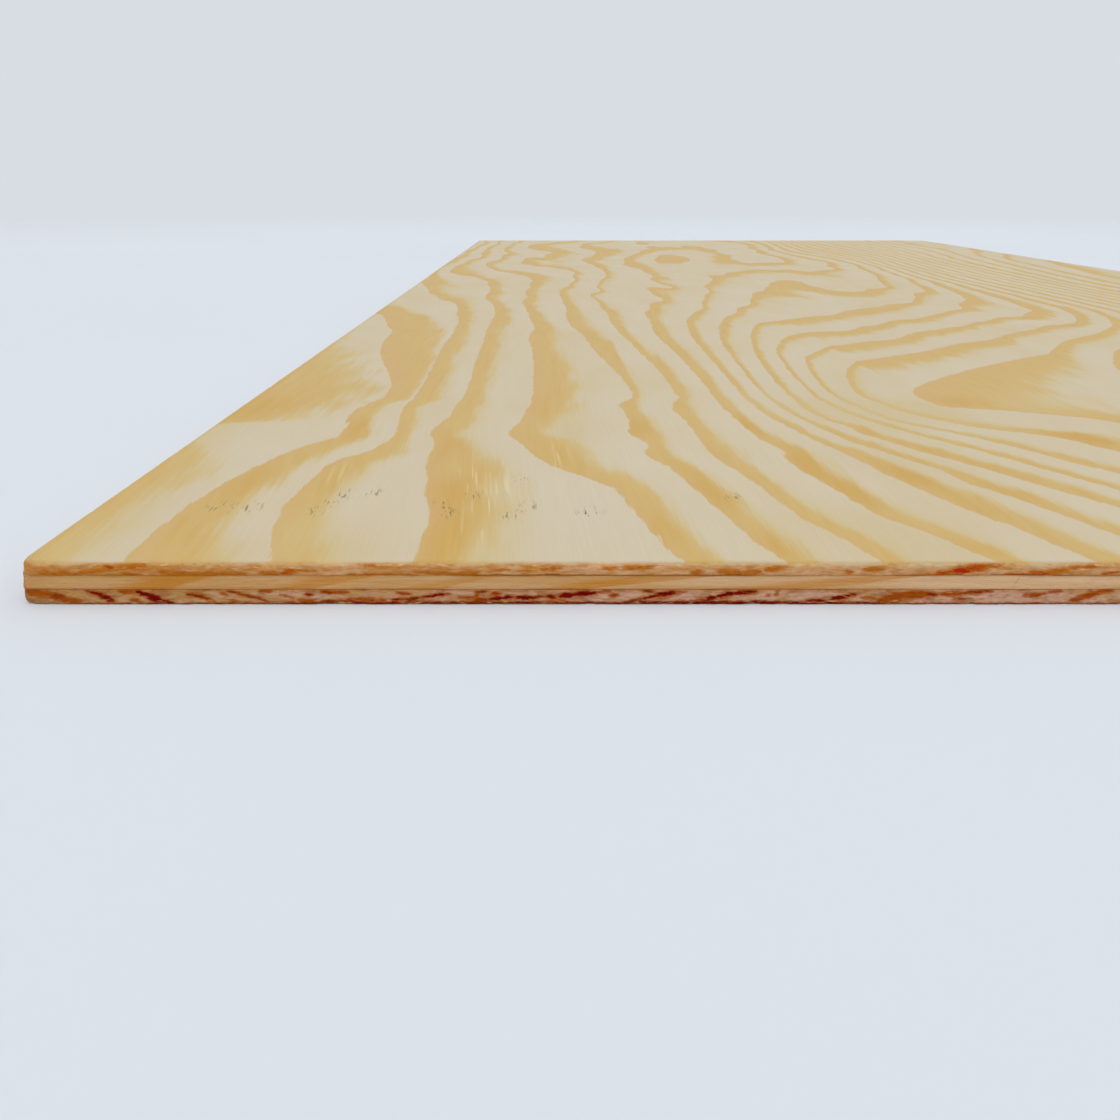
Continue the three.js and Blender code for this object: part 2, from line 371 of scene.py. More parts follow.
def core_rings(u, w, depth):
    """Growth rings in the core, whose grain runs across the sheet."""
    ring = w / 17 + 1.3 * swell(w, u, 150, 420, 41) + 0.5 * swell(w, u, 60, 150, 42) - u / 60
    ring, share = ring - depth / CORE_RING_DEPTH, 0.38 + 0.06 * swell(w, u, 40, 160, 43)
    mirrored = [[(down, -sharp, -soft) for down, sharp, soft in band] for band in CORE_BANDS]
    drawn_ring, drawn_share = drawn_rings(mirrored, -u, depth)
    hold = (1 - smoothstep(0, 8, w)) * (1 - smoothstep(EDGE_U_END, EDGE_U_END + 75, u))
    return ring + hold * (drawn_ring - ring), share + hold * (drawn_share - share)


# ---------------------------------------------------------------- meshes

def graded(low, high, close_to, fine, coarse):
    """Positions from low to high in fine steps up to close_to, growing to coarse steps beyond it."""
    places, step = [low], fine
    while places[-1] + step < high - step / 2:
        places.append(places[-1] + step)
        if places[-1] > close_to:
            step = min(step * STEP_GROWTH, coarse)
    return np.array(places + [high])


class Rim:
    """Upright columns round a veneer's outline, each tied to a vertex of the flat grid inside it."""
    NORMALS = np.array([(0, -1), (1, 0), (0, 1), (-1, 0)])

    def __init__(self, half, xs, ys, grid, close_step, far_step):
        lines = [(xs, grid[0]), (ys, grid[:, -1]), (xs[::-1], grid[-1][::-1]), (ys[::-1], grid[:, 0][::-1])]
        columns = []
        for side, (line, vertices) in enumerate(lines):
            normal, following = self.NORMALS[side], self.NORMALS[(side + 1) % 4]
            across = np.abs(normal[::-1])
            for start, end, *tied in zip(line, line[1:], vertices, vertices[1:]):
                close = side == 0 and min(start, end) < LEFT + CLOSE_U
                parts = max(1, round(abs(end - start) / (close_step if close else far_step)))
                for part in range(parts):
                    along = start + (end - start) * part / parts
                    anchor = tied[part * 2 > parts]
                    columns.append((anchor, along * across + half * normal, normal, side))
            columns.append((vertices[-1], line[-1] * across + half * normal, normal, side))
            centre = (half - CORNER_RADIUS) * (normal + following)
            for turn in range(CORNER_COLUMNS + 1):
                angle = math.atan2(normal[1], normal[0]) + math.pi / 2 * turn / CORNER_COLUMNS
                outward = np.array([math.cos(angle), math.sin(angle)])
                columns.append((vertices[-1], centre + CORNER_RADIUS * outward, outward, side))
        anchors, points, normals, sides = zip(*columns)
        self.anchors, self.sides = np.array(anchors), np.array(sides)
        self.points, self.normals = np.array(points, float), np.array(normals, float)
        hops = np.linalg.norm(np.roll(self.points, -1, axis=0) - self.points, axis=1)
        self.travelled = np.concatenate([[0], np.cumsum(hops)])
        self.count = len(columns)
        self.half = half
        self.corners = (self.points[:, 0] > 0) + 2 * (self.points[:, 1] > 0)

    def worn(self, height):
        """The outline and its normals at a height, where the upright corners are worn rounder."""
        radii = BOTTOM_RADII + (TOP_RADII - BOTTOM_RADII) * height / SHEET_TOP
        radius = radii[self.corners][:, None]
        sign = np.sign(self.points)
        centre = sign * (self.half - radius)
        outward = self.points - centre
        at_corner = (outward * sign > 0).all(axis=1)[:, None]
        normals = np.where(at_corner, outward / np.linalg.norm(outward, axis=1)[:, None], self.normals)
        return np.where(at_corner, centre + radius * normals, self.points), normals


def fine_noise(rim, size, seed, depth=0.0, high=1.0):
    """Rough noise between -1 and 1 along the rim: random values size by high mm apart, eased between."""
    a, b = rim.travelled[:-1] / size, depth / high
    ia, ib = np.floor(a), np.floor(b)
    ta, tb = a - ia, b - ib

    def value(x, y):
        shaken = np.sin(x * 127.1 + y * 311.7 + seed * 74.7) * 43758.5453
        return 2 * (shaken - np.floor(shaken)) - 1
    ta, tb = ta * ta * (3 - 2 * ta), tb * tb * (3 - 2 * tb)
    near = value(ia, ib) * (1 - ta) + value(ia + 1, ib) * ta
    far = value(ia, ib + 1) * (1 - ta) + value(ia + 1, ib + 1) * ta
    return near * (1 - tb) + far * tb


def sawn_cut(rim, depth, end_share, seed):
    """How far the saw and wear took each edge point inwards, in mm. It is rougher on end grain."""
    wander = 0.035 * (1 + fine_noise(rim, 46, seed))
    torn = 0.055 * fine_noise(rim, 0.9, seed + 1, depth, 0.6)
    pulled = 0.075 * fine_noise(rim, 2.6, seed + 2, depth, 1.5)
    grooved = 0.03 * fine_noise(rim, 14, seed + 3, depth, 0.45)
    rough = end_share * (torn + pulled) + (1 - end_share) * grooved
    return np.maximum(0.02, wander + 0.06 + rough)


def chipped(rim, end_share, seed):
    """How much of the arris is chipped away along the rim, from 0 to 1. Cut fibres chip most."""
    small = smoothstep(0.25, 0.9, fine_noise(rim, 0.8, seed))
    broad = smoothstep(0.45, 0.95, fine_noise(rim, 3.7, seed + 1))
    return (0.25 + 0.75 * end_share) * np.maximum(0.35 * small, broad)


def corner_wear(rim, reach):
    """1 at the sheet's upright corners, fading away over about reach millimetres."""
    to_corner = np.linalg.norm(rim.half - np.abs(rim.points), axis=1)
    return np.exp(-(to_corner / reach) ** 2)


# A veneer's edge is rows of (inset from the outline, depth from its visible flat or the core's top).
# An outer veneer's first rows are the flat and the eased arris. Rows next to glue dip into its line.
def arris_rows(radius, thickness, steps):
    rows = [(FLAT_INSET, 0.0), (0.9, 0.0), (radius, 0.0)]
    rows += [(radius * (1 - math.sin(a)), radius * (1 - math.cos(a)))
             for a in (math.pi / 6, math.pi / 3, math.pi / 2)]
    straight = np.linspace(radius, thickness - GLUE_MARGIN, steps + 1)[1:]
    return rows + [(0.0, depth) for depth in straight] + [(GLUE_DIP, thickness)]


def square_rows(thickness, steps):
    straight = np.linspace(GLUE_MARGIN, thickness - GLUE_MARGIN, steps + 1)
    return [(GLUE_DIP, 0.0)] + [(0.0, depth) for depth in straight] + [(GLUE_DIP, thickness)]


# A vertex is x, y, depth from the visible flat, past, ends, facing and corner darkening. past is how
# far down the edge it lies, or below 0 how far in from it on the flat. ends is 1 on end grain, facing is
# 1 on the front edge and corner darkening is 1 at the upright corners, for some dirt and for painted
# shade on their rounding.
def flat_vertices(xs, ys):
    x, y = (axis.ravel() for axis in np.meshgrid(xs, ys))
    zero = np.zeros_like(x)
    return np.column_stack([x, y, zero, zero - RIM, zero, zero, zero])


def edge_vertices(rim, rows, height, showing, grain, seed):
    """The vertices of each row of the edge. height gives the height at a depth."""
    # The second mask marks the corners whose colour the material darkens, for dirt and painted shade.
    wear, dirty_shaded_corner = corner_wear(rim, 3.0), corner_wear(rim, 5.5)
    for inset, depth in rows:
        outline, normals = rim.worn(height(depth))
        ends = normals[:, grain] ** 2
        on_edge = smoothstep(-FLAT_INSET, 0.0, depth - inset)
        fading = math.exp(-depth / 0.7) * on_edge
        chip = CHIP_SIZE[showing] * chipped(rim, ends, seed + 7) * fading
        worn = wear * fading * (showing != 0)
        cut = inset + on_edge * sawn_cut(rim, depth, ends, seed) + 0.6 * chip + 0.5 * worn
        drop = depth + 0.45 * chip + 0.4 * worn
        past = np.full(rim.count, depth - inset if showing else INNER_PAST)
        yield np.column_stack([outline - cut[:, None] * normals, drop, past, ends, -normals[:, 1], dirty_shaded_corner])


def drawn_streaks(u, depth, streaks):
    """Darkness and redness at points of the front edge. Darkness is 0.5 on a streak's outline."""
    dark, red = np.zeros_like(u), np.zeros_like(u)
    for u0, d0, u1, d1, thickness, redness in streaks:
        run, drop = u1 - u0, d1 - d0
        share = np.clip(((u - u0) * run + (depth - d0) * drop) / (run ** 2 + drop ** 2), 0, 1)
        away = np.hypot((u - u0 - share * run) * 0.6, depth - d0 - share * drop)
        swollen = thickness * (0.5 + 0.65 * np.sin(np.pi * (0.15 + 0.7 * share)))
        here = np.clip(0.5 + (swollen / 2 - away) / (0.55 + 0.45 * thickness), 0, 1)
        red = np.where(here > dark, redness, red)
        dark = np.maximum(dark, here)
    return dark, red


class BakeLayout:
    """Places on a bake map: the flat takes most of it, and the thin edges lie in upright strips."""
    MARGIN = 0.004
    FLAT_WIDTH = 0.85
    HIDDEN_WIDTH = 0.008      # the face that is glued to the next veneer gets a sliver of the map
    STRIP_GAP = 0.004

    def __init__(self, rim, rows, has_flat):
        self.half = rim.half
        self.flat_width = self.FLAT_WIDTH if has_flat else 0.0
        self.hidden_start = self.flat_width + 2 * self.MARGIN
        self.hidden_faces = 1 if has_flat else 2
        strips_start = self.hidden_start + self.hidden_faces * (self.HIDDEN_WIDTH + self.MARGIN)
        folds = 2 if has_flat else 4
        pitch = (1 - strips_start) / (4 * folds)

        profile = np.array(rows)
        climbed = np.concatenate([[0], np.cumsum(np.linalg.norm(np.diff(profile, axis=0), axis=1))])
        self.across = climbed / climbed[-1] * (pitch - self.STRIP_GAP)
        firsts = np.array([np.argmax(rim.sides == side) for side in range(4)] + [rim.count])
        start = rim.travelled[firsts[rim.sides]]
        length = rim.travelled[firsts[rim.sides + 1]] - start
        near = (rim.travelled[:-1] - start) / length * folds
        far = (rim.travelled[1:] - start) / length * folds
        fold = np.minimum(np.floor(near), folds - 1)
        self.left = strips_start + (rim.sides * folds + fold) * pitch
        self.near = self.climb(near - fold)
        self.far = self.climb(far - fold)

    def climb(self, share):
        return self.MARGIN + share * (1 - 4 * self.MARGIN)

    def spread(self, points, left, width):
        share = (points / self.half + 1) / 2
        return np.stack([left + share[..., 0] * width, self.climb(share[..., 1])], axis=-1)

    def flat(self, points):
        return self.spread(points, self.MARGIN, self.flat_width)

    def hidden(self, points, number):
        left = self.hidden_start + number * (self.HIDDEN_WIDTH + self.MARGIN)
        return self.spread(points, left, self.HIDDEN_WIDTH)

    def strips(self, row):
        upper, lower = self.left + self.across[row], self.left + self.across[row + 1]
        corners = [(upper, self.near), (lower, self.near), (lower, self.far), (upper, self.far)]
        return np.stack([np.stack(corner, axis=1) for corner in corners], axis=1)


def veneer_faces(rim, layout, plan, grid, row_count, showing):
    """Faces as loops of vertices, and their corners' places on the bake map. The flat grid comes
    first, if it shows, then the strips of the rim, and the faces that are glued come last."""
    first = grid.size if showing else 0
    rows = first + np.arange(row_count * rim.count).reshape(row_count, rim.count)
    after = np.roll(rows, -1, axis=1)
    faces, maps = [], []
    if showing:
        quads = np.stack([grid[:-1, :-1], grid[:-1, 1:], grid[1:, 1:], grid[1:, :-1]], axis=-1)
        quads = quads.reshape(-1, 4)
        faces += quads.tolist()
        maps += list(layout.flat(plan[quads]))
        for loop in zip(rim.anchors, rows[0], after[0], np.roll(rim.anchors, -1)):
            loop = [int(vertex) for i, vertex in enumerate(loop) if vertex != loop[i - 1]]
            faces.append(loop)
            maps.append(layout.flat(plan[loop]))
    for row in range(row_count - 1):
        quads = np.stack([rows[row], rows[row + 1], after[row + 1], after[row]], axis=1)
        faces += quads.tolist()
        on_flat = showing and row < FLAT_ROWS
        maps += list(layout.flat(plan[quads]) if on_flat else layout.strips(row))
    for number, loop in enumerate([rows[-1][::-1], rows[0]][:layout.hidden_faces]):
        faces.append(loop.tolist())
        maps.append(layout.hidden(plan[loop], number))
    if showing < 0:
        faces = [face[::-1] for face in faces]
        maps = [corners[::-1] for corners in maps]
    return faces, maps


def describe_wood(mesh, vertices, top, showing, rings, streaks, tones, pinkness):
    """What the materials read at each vertex: the growth rings, the kind of cut and the marks."""
    x, y, z, past, ends, facing, corner_dirt_and_shade = vertices.T
    u, w, depth = x - LEFT, y - FRONT, top - z
    ring, share = rings(u, w, depth)
    hop = 0.5
    slope = np.hypot(rings(u + hop, w, depth)[0] - ring, rings(u, w + hop, depth)[0] - ring) / hop
    drawn = smoothstep(0.5, 0.9, facing) * (1 - smoothstep(EDGE_U_END, EDGE_U_END + 15, u))
    dark, red = drawn_streaks(u, depth, streaks)
    fall = drawn * smooth_line(*zip(*ARRIS_DROP), u) * (showing > 0)
    specks, torn = (spots(u, w, kind) * (showing > 0) for kind in (SPECKS, TORN_FIBRES))
    pink, seam = smooth_line(*zip(*pinkness), u), smooth_line(*zip(*SEAM_DARKNESS), u)
    seam = np.where(z > SHEET_TOP / 2, seam, OTHER_SEAM_DARKNESS)
    warmth = MEAN_WARMTH + spots(u, w, FACE_WARMTH)
    channels = {
        "figure": (ring, np.clip(slope, 0.006, 0.3), share, 1 + spots(u, w, tones)),
        "cut": (past, ends, drawn, pink),
        "marks": (dark, red, specks, torn),
        "tones": (warmth, fall, seam, corner_dirt_and_shade),
    }
    for name, values in channels.items():
        layer = mesh.attributes.new(name, "FLOAT_COLOR", "POINT")
        layer.data.foreach_set("color", np.column_stack(values).astype(np.float32).ravel())


def in_scene(name, data):
    """A new object in the scene, from its mesh, light or camera."""
    made = bpy.data.objects.new(name, data)
    bpy.context.scene.collection.objects.link(made)
    return made


def build_veneer(node, showing, grain, edge_steps, spacing, seed, arris=0.0, **wood):
    """A closed mesh that stands for one veneer. showing is +1 if its top shows, -1 if its underside
    does and 0 if neither. grain is the axis of its fibres. spacing is the flat's steps, close and
    far, then the edge's."""
    low, high = (np.array(corner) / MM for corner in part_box(node))
    half, thickness = high[:2], round(high[2] - low[2], 3)
    rows = arris_rows(arris, thickness, edge_steps) if showing else square_rows(thickness, edge_steps)
    fine, coarse, close_step, far_step = spacing
    xs = graded(-half[0] + RIM, half[0] - RIM, LEFT + CLOSE_U, fine, coarse)
    ys = graded(-half[1] + RIM, half[1] - RIM, FRONT + CLOSE_W, fine, coarse)
    grid = np.arange(len(xs) * len(ys)).reshape(len(ys), len(xs))
    rim = Rim(half, xs, ys, grid, close_step, far_step)

    def height(depth):
        return low[2] + depth if showing < 0 else high[2] - depth

    parts = [flat_vertices(xs, ys)] if showing else []
    parts += edge_vertices(rim, rows, height, showing, grain, seed)
    vertices = np.concatenate(parts)
    vertices[:, 2] = height(vertices[:, 2])
    layout = BakeLayout(rim, rows, bool(showing))
    faces, maps = veneer_faces(rim, layout, vertices[:, :2], grid, len(rows), showing)

    mesh = bpy.data.meshes.new(node)
    mesh.from_pydata((vertices[:, :3] * MM).tolist(), [], faces)
    mesh.shade_smooth()
    for polygon in mesh.polygons[-layout.hidden_faces:]:
        polygon.use_smooth = False
    if showing:
        for polygon in mesh.polygons[:grid[1:, 1:].size]:
            polygon.material_index = FLAT_SLOT
    bake_map = mesh.uv_layers.new(name="OFBake")
    corners = np.concatenate([places.ravel() for places in maps])
    bake_map.data.foreach_set("uv", corners.astype(np.float32))
    describe_wood(mesh, vertices, high[2], showing, **wood)

    piece = in_scene(node + "_wood", mesh)
    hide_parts(node)
    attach(piece, "root")
    return piece


# ---------------------------------------------------------------- materials

def paint(red, green, blue):
    """A colour as seen on screen, 0 to 255, as Blender's linear colour."""
    linear = [((c / 255 + 0.055) / 1.055) ** 2.4 for c in (red, green, blue)]
    return (*linear, 1.0)


# Colours are as seen on screen, 0 to 255. Shades, which multiply a colour, are linear.
TORN_FIBRE = (222, 204, 156)
DIRT = (92, 80, 64)
CRACK = (92, 56, 30)
GLUE = (112, 60, 26)
STAIN = (0.90, 0.80, 0.66, 1.0)
FLAT_SHINE, EDGE_SHINE = 0.12, 0.04
BUMP = (0.5, 0.35)        # strength, and distance in mm
FINE = {"detail": 2, "roughness": 0.6}


class Number:
    """A number that a material's nodes work out, for use in plain sums."""

    def __init__(self, shader, socket):
        self.shader, self.socket = shader, socket

    def __add__(self, other):
        return self.shader.math("ADD", self, other)

    def __sub__(self, other):
        return self.shader.math("SUBTRACT", self, other)

    def __rsub__(self, other):
        return self.shader.math("SUBTRACT", other, self)

    def __mul__(self, other):
        return self.shader.math("MULTIPLY", self, other)

    def step(self, low=0.0, high=1.0):
        """0 below low, 1 above high and an eased climb between."""
        inputs = {"Value": self, "From Min": low, "From Max": high}
        return self.shader.number("MapRange", inputs, interpolation_type="SMOOTHSTEP")

    def swing(self, size):
        """Noise as a swing of about plus or minus half of size."""
        return (self - 0.5) * size

    def blend(self, a, b):
        """The number that lies this far from a to b."""
        return self.shader.number("Mix", {0: self, 2: a, 3: b})

    def mix(self, a, b):
        """The colour that lies this far from a to b."""
        return self.shader.mix(self, a, b)

    def shade(self, colour, dark, pale):
        """A colour times the shade that lies this far from dark to pale."""
        return self.shader.mix(1.0, colour, self.mix((*dark, 1.0), (*pale, 1.0)), "MULTIPLY")


class Shader:
    """A material and short calls for its nodes. Sizes are millimetres."""

    def __init__(self, name):
        self.material = bpy.data.materials.new(name)
        self.material.use_nodes = True
        self.tree = self.material.node_tree
        self.tree.nodes.clear()
        where = self.add("TexCoord").outputs["Object"]
        self.place = self.vector("MULTIPLY", where, (1 / MM,) * 3)

    def feed(self, socket, value):
        value = getattr(value, "socket", value)
        if isinstance(value, bpy.types.NodeSocket):
            self.tree.links.new(value, socket)
        elif socket.type == "RGBA" and len(value) == 3:
            socket.default_value = paint(*value)
        else:
            socket.default_value = value

    def add(self, kind, inputs=None, **settings):
        node = self.tree.nodes.new("ShaderNode" + kind)
        for name, value in settings.items():
            setattr(node, name, value)
        for name, value in (inputs or {}).items():
            self.feed(node.inputs[name], value)
        return node

    def number(self, kind, inputs, output=0, **settings):
        return Number(self, self.add(kind, inputs, **settings).outputs[output])

    def numbers(self, kind, inputs):
        return [Number(self, output) for output in self.add(kind, inputs).outputs]

    def math(self, operation, a, b=0.0):
        return self.number("Math", {0: a, 1: b}, operation=operation)

    def vector(self, operation, a, b):
        return self.add("VectorMath", {0: a, 1: b}, operation=operation).outputs[0]

    def mix(self, factor, a, b, blend="MIX"):
        node = self.add("Mix", {0: factor, 6: a, 7: b}, data_type="RGBA", blend_type=blend)
        return node.outputs[2]

    def read(self, name):
        """The four numbers that the mesh holds under a name."""
        stored = self.add("Attribute", attribute_name=name).outputs
        return self.numbers("SeparateColor", {0: stored["Color"]}) + [Number(self, stored["Alpha"])]

    def noise(self, x, y, z, detail=0, roughness=0.5, turn=0, place=None):
        """Noise between 0 and 1, about x by y by z mm in size. turn picks another part of it."""
        vector = self.vector("MULTIPLY", place or self.place, (1 / x, 1 / y, 1 / z))
        vector = self.vector("ADD", vector, (turn, turn, turn))
        inputs = {"Vector": vector, "Scale": 1.0, "Detail": detail, "Roughness": roughness}
        return self.number("TexNoise", inputs)

    def speckle(self, wide, high, **kind):
        """Noise that is as long as it is wide."""
        return self.noise(wide, wide, high, **kind)

    def finish(self, colour, roughness, shine, height, strength, distance):
        bump_inputs = {"Height": height, "Strength": strength, "Distance": distance * MM}
        inputs = {"Base Color": colour, "Roughness": roughness, "Specular IOR Level": shine,
                  "Normal": self.add("Bump", bump_inputs).outputs[0]}
        surface = self.add("BsdfPrincipled", inputs).outputs[0]
        self.add("OutputMaterial", {"Surface": surface})
        return self.material


class Wood(Shader):
    """A veneer's wood, with what describe_wood left on its mesh."""

    def __init__(self, name):
        super().__init__(name)
        self.ring, self.slope, self.share, self.strength = self.read("figure")
        self.past, self.ends, self.drawn, self.pink = self.read("cut")
        self.dark, self.red, self.specks, self.torn = self.read("marks")
        self.warmth, self.fall, self.glued, self.corner_dirt_and_shade = self.read("tones")
        self.present = self.math("MINIMUM", self.strength, 1.0)
        x, y, self.height = self.numbers("SeparateXYZ", {0: self.place})
        self.fibre_place = self.place
        if self.lean:
            # The fibres lean near the front left corner, as the drawn bands do.
            leaning = y.step(FRONT - 40, FRONT + 160) * (1 - x.step(LEFT + 100, LEFT + 180))
            shift = self.add("CombineXYZ", {0: leaning * self.lean}).outputs[0]
            self.fibre_place = self.vector("ADD", self.place, shift)

    def fibres(self, thin, long, deep, **kind):
        """Noise stretched along the grain."""
        size = (long, thin, deep) if self.grain == GRAIN_X else (thin, long, deep)
        return self.noise(*size, place=self.fibre_place, **kind)


class FaceWood(Wood):
    """early and late are the flat's pale and dark wood, end is end grain and side the edges' long
    grain. breaks, smudged and reds say how broken, dirty and red the end grain is, and lean how far
    the fibres lean, in mm."""
    grain, lean = GRAIN_Y, 10.7
    early, early_warm, honey = (206, 193, 168), (203, 185, 147), (204, 183, 130)
    late, late_deep, late_rosy = (204, 174, 112), (201, 162, 88), (204, 168, 117)
    rim = (190, 144, 90)
    end_tan, end_pink, end_pale = (184, 126, 62), (198, 152, 108), (202, 160, 106)
    end_brown, end_late, end_dark = (158, 96, 40), (172, 98, 24), (164, 34, 0)
    breaks, smudged, reds = 0.40, 0.25, 0.55
    side_early, side_pink, side_late = (196, 152, 104), (202, 168, 130), (184, 126, 60)


class CoreWood(FaceWood):
    grain, lean = GRAIN_X, 0
    end_tan, end_pink, end_pale = (188, 142, 86), (196, 160, 122), (210, 180, 140)
    end_brown, end_late, end_dark = (152, 100, 54), (176, 106, 46), (150, 70, 28)
    breaks, smudged, reds = 0.44, 0.35, 0.8
    side_early, side_pink, side_late = (190, 144, 90), (207, 172, 134), (184, 120, 36)


class BackWood(Wood):
    grain, lean = GRAIN_Y, 0
    early, early_warm, honey = (206, 186, 154), (203, 181, 144), (202, 174, 128)
    late, late_deep, late_rosy = (196, 154, 100), (188, 140, 82), (190, 142, 92)
    rim = (188, 140, 88)
    end_tan, end_pink, end_pale = (176, 132, 80), (190, 148, 122), (206, 170, 132)
    end_brown, end_late, end_dark = (136, 78, 38), (156, 76, 8), (108, 4, 0)
    breaks, smudged, reds = 0.36, 0.45, 1.0
    side_early, side_pink, side_late = (190, 144, 98), (196, 158, 122), (172, 108, 48)


def flat_figure(wood):
    """Sanded figure: a wavy, fibrous edge on each band's sharp side and a slow fade on the other."""
    share, fibres = wood.share, wood.fibres
    wobble = fibres(3.4, 10, 3, detail=2).swing(2.4) + fibres(0.5, 14, 1, detail=1, turn=7).swing(1.4)
    part = wood.math("FRACT", wood.ring + wood.slope * wobble)
    sharp = part.step(0.0, wood.slope * 0.7)
    frays = fibres(1.5, 22, 2, detail=1, turn=3).swing(0.4) + fibres(6, 22, 3, turn=37).swing(0.4)
    frayed = part + share * frays
    late = sharp * (1 - frayed.step(share * 0.62, share * 1.12)) * wood.present
    halo = sharp * (1 - frayed.step(share * 0.75, share * 0.95 + 0.22))

    yellow = wood.warmth + wood.noise(22, 50, 20, detail=1).swing(0.9)
    colour = yellow.step().mix(wood.early, wood.early_warm)
    colour = (halo * 0.75).mix(colour, wood.honey)
    dense = fibres(2.6, 26, 3, detail=1, turn=27).swing(0.8)
    tone = (wood.strength - 0.75 + dense).step().mix(wood.late, wood.late_deep)
    rosy = 1 - part.step(0.0, share * 0.4)
    tone = (rosy * 0.5).mix(tone, wood.late_rosy)
    colour = late.mix(colour, tone)
    hairs = fibres(0.3, 34, 1, **FINE)
    colour = hairs.shade(colour, (0.945, 0.93, 0.91), (1.055, 1.065, 1.075))
    pale = fibres(0.9, 24, 2, turn=11).step(0.60, 0.70)
    colour = (pale * (wood.torn * 0.7)).mix(colour, TORN_FIBRE)
    dirt = fibres(0.5, 3.2, 2, turn=5).step(0.60, 0.70)
    colour = (dirt * (wood.specks * 0.85)).mix(colour, DIRT)
    return colour, late.blend(0.62, 0.52), hairs * 0.10


def end_grain(wood):
    """The same rings cut across: ragged streaks, in wood mottled with short cut fibres."""
    drawn, speckle = wood.drawn, wood.speckle
    ragged = speckle(0.9, 0.5, detail=1).swing(0.34) + speckle(4.5, 1.6, turn=2).swing(0.30)
    part = wood.math("FRACT", wood.ring + ragged + 0.15)
    own_dark = part.step(-0.03, 0.10) * (1 - part.step(0.16, 0.40))
    broken = speckle(5.5, 2.2, turn=9).step(wood.breaks, wood.breaks + 0.2)
    lumps = speckle(1.5, 0.45, turn=29, **FINE).swing(1.15)
    darkness = drawn.blend(own_dark * broken, wood.dark) + lumps

    tan_or_pink = speckle(30, 6, turn=6).step(0.35, 0.65)
    blotches = speckle(4, 1, detail=1, turn=31).swing(2.2)
    pinkness = drawn.blend(tan_or_pink, wood.pink) + blotches
    colour = pinkness.step().mix(wood.end_tan, wood.end_pink)
    mottle = speckle(2, 0.6, turn=4, **FINE)
    colour = mottle.shade(colour, (0.70, 0.64, 0.58), (1.30, 1.36, 1.42))
    flecks = speckle(1.8, 0.5, detail=1, turn=15)
    colour = (flecks.step(0.60, 0.76) * 0.35).mix(colour, wood.end_pale)
    smudges = speckle(3.4, 1.1, turn=33, **FINE).step(0.46, 0.66)
    smudged = smudges * wood.smudged + (1 - flecks.step(0.24, 0.40)) * 0.4
    colour = smudged.mix(colour, wood.end_brown)
    colour = (darkness.step(0.0, 0.5) * 0.55).mix(colour, wood.end_late)

    reds = speckle(7, 3, turn=13).step(0.4, 0.75) * wood.reds
    redness = drawn.blend(reds, wood.red) * darkness.step(0.45, 0.95).blend(0.4, 1.1)
    tone = redness.step().mix(wood.end_late, wood.end_dark)
    tone = mottle.shade(tone, (0.45, 0.38, 0.34), (1.55, 1.62, 1.66))
    return darkness.step(0.30, 0.78).mix(colour, tone), mottle


def side_grain(wood):
    """Long grain on a cut side: amber bands that end sharply, and streaks along the fibres."""
    share, fibres = wood.share, wood.fibres
    drift = fibres(5, 26, 1.4, detail=1, turn=17).swing(0.10)
    part = wood.math("FRACT", wood.ring + drift)
    late = part.step(0.0, 0.07) * (1 - part.step(share * 0.7, share * 1.4)) * wood.present
    pinkness = wood.pink + fibres(8, 30, 1.2, turn=35).swing(1.0)
    colour = pinkness.step().mix(wood.side_early, wood.side_pink)
    colour = (late * 0.82).mix(colour, wood.side_late)
    grainy = fibres(1, 14, 0.3, turn=19, **FINE)
    colour = grainy.shade(colour, (0.86, 0.83, 0.79), (1.14, 1.16, 1.19))
    crack = wood.dark.step(0.46, 0.6) * wood.drawn
    return (crack * 0.55).mix(colour, CRACK), grainy


def glue_lines(wood, heights):
    """Thin dark seams here and there along every edge, and the faint stain beside them."""
    wavering = wood.height + wood.speckle(6, 1, turn=21).swing(0.2)
    seam, stain = 0.0, 0.0
    for height in heights:
        off = wood.math("ABSOLUTE", wavering - height)
        seam = wood.math("MAXIMUM", 1 - off.step(0.0, 0.22), seam)
        stain = wood.math("MAXIMUM", 1 - off.step(0.0, 0.8), stain)
    patchy = (wood.speckle(9, 3, turn=23).swing(0.8) + wood.glued).step(0.1, 1.1)
    stained = wood.drawn.blend(1.0, wood.glued.step(0.05, 0.25))
    return seam * patchy * wood.past.step(0.0, 0.5), stain * stained


def flat_material(wood):
    """The material of a flat grid, which no edge shows on."""
    colour, roughness, relief = flat_figure(wood)
    return wood.finish(colour, roughness, FLAT_SHINE, relief, *BUMP)


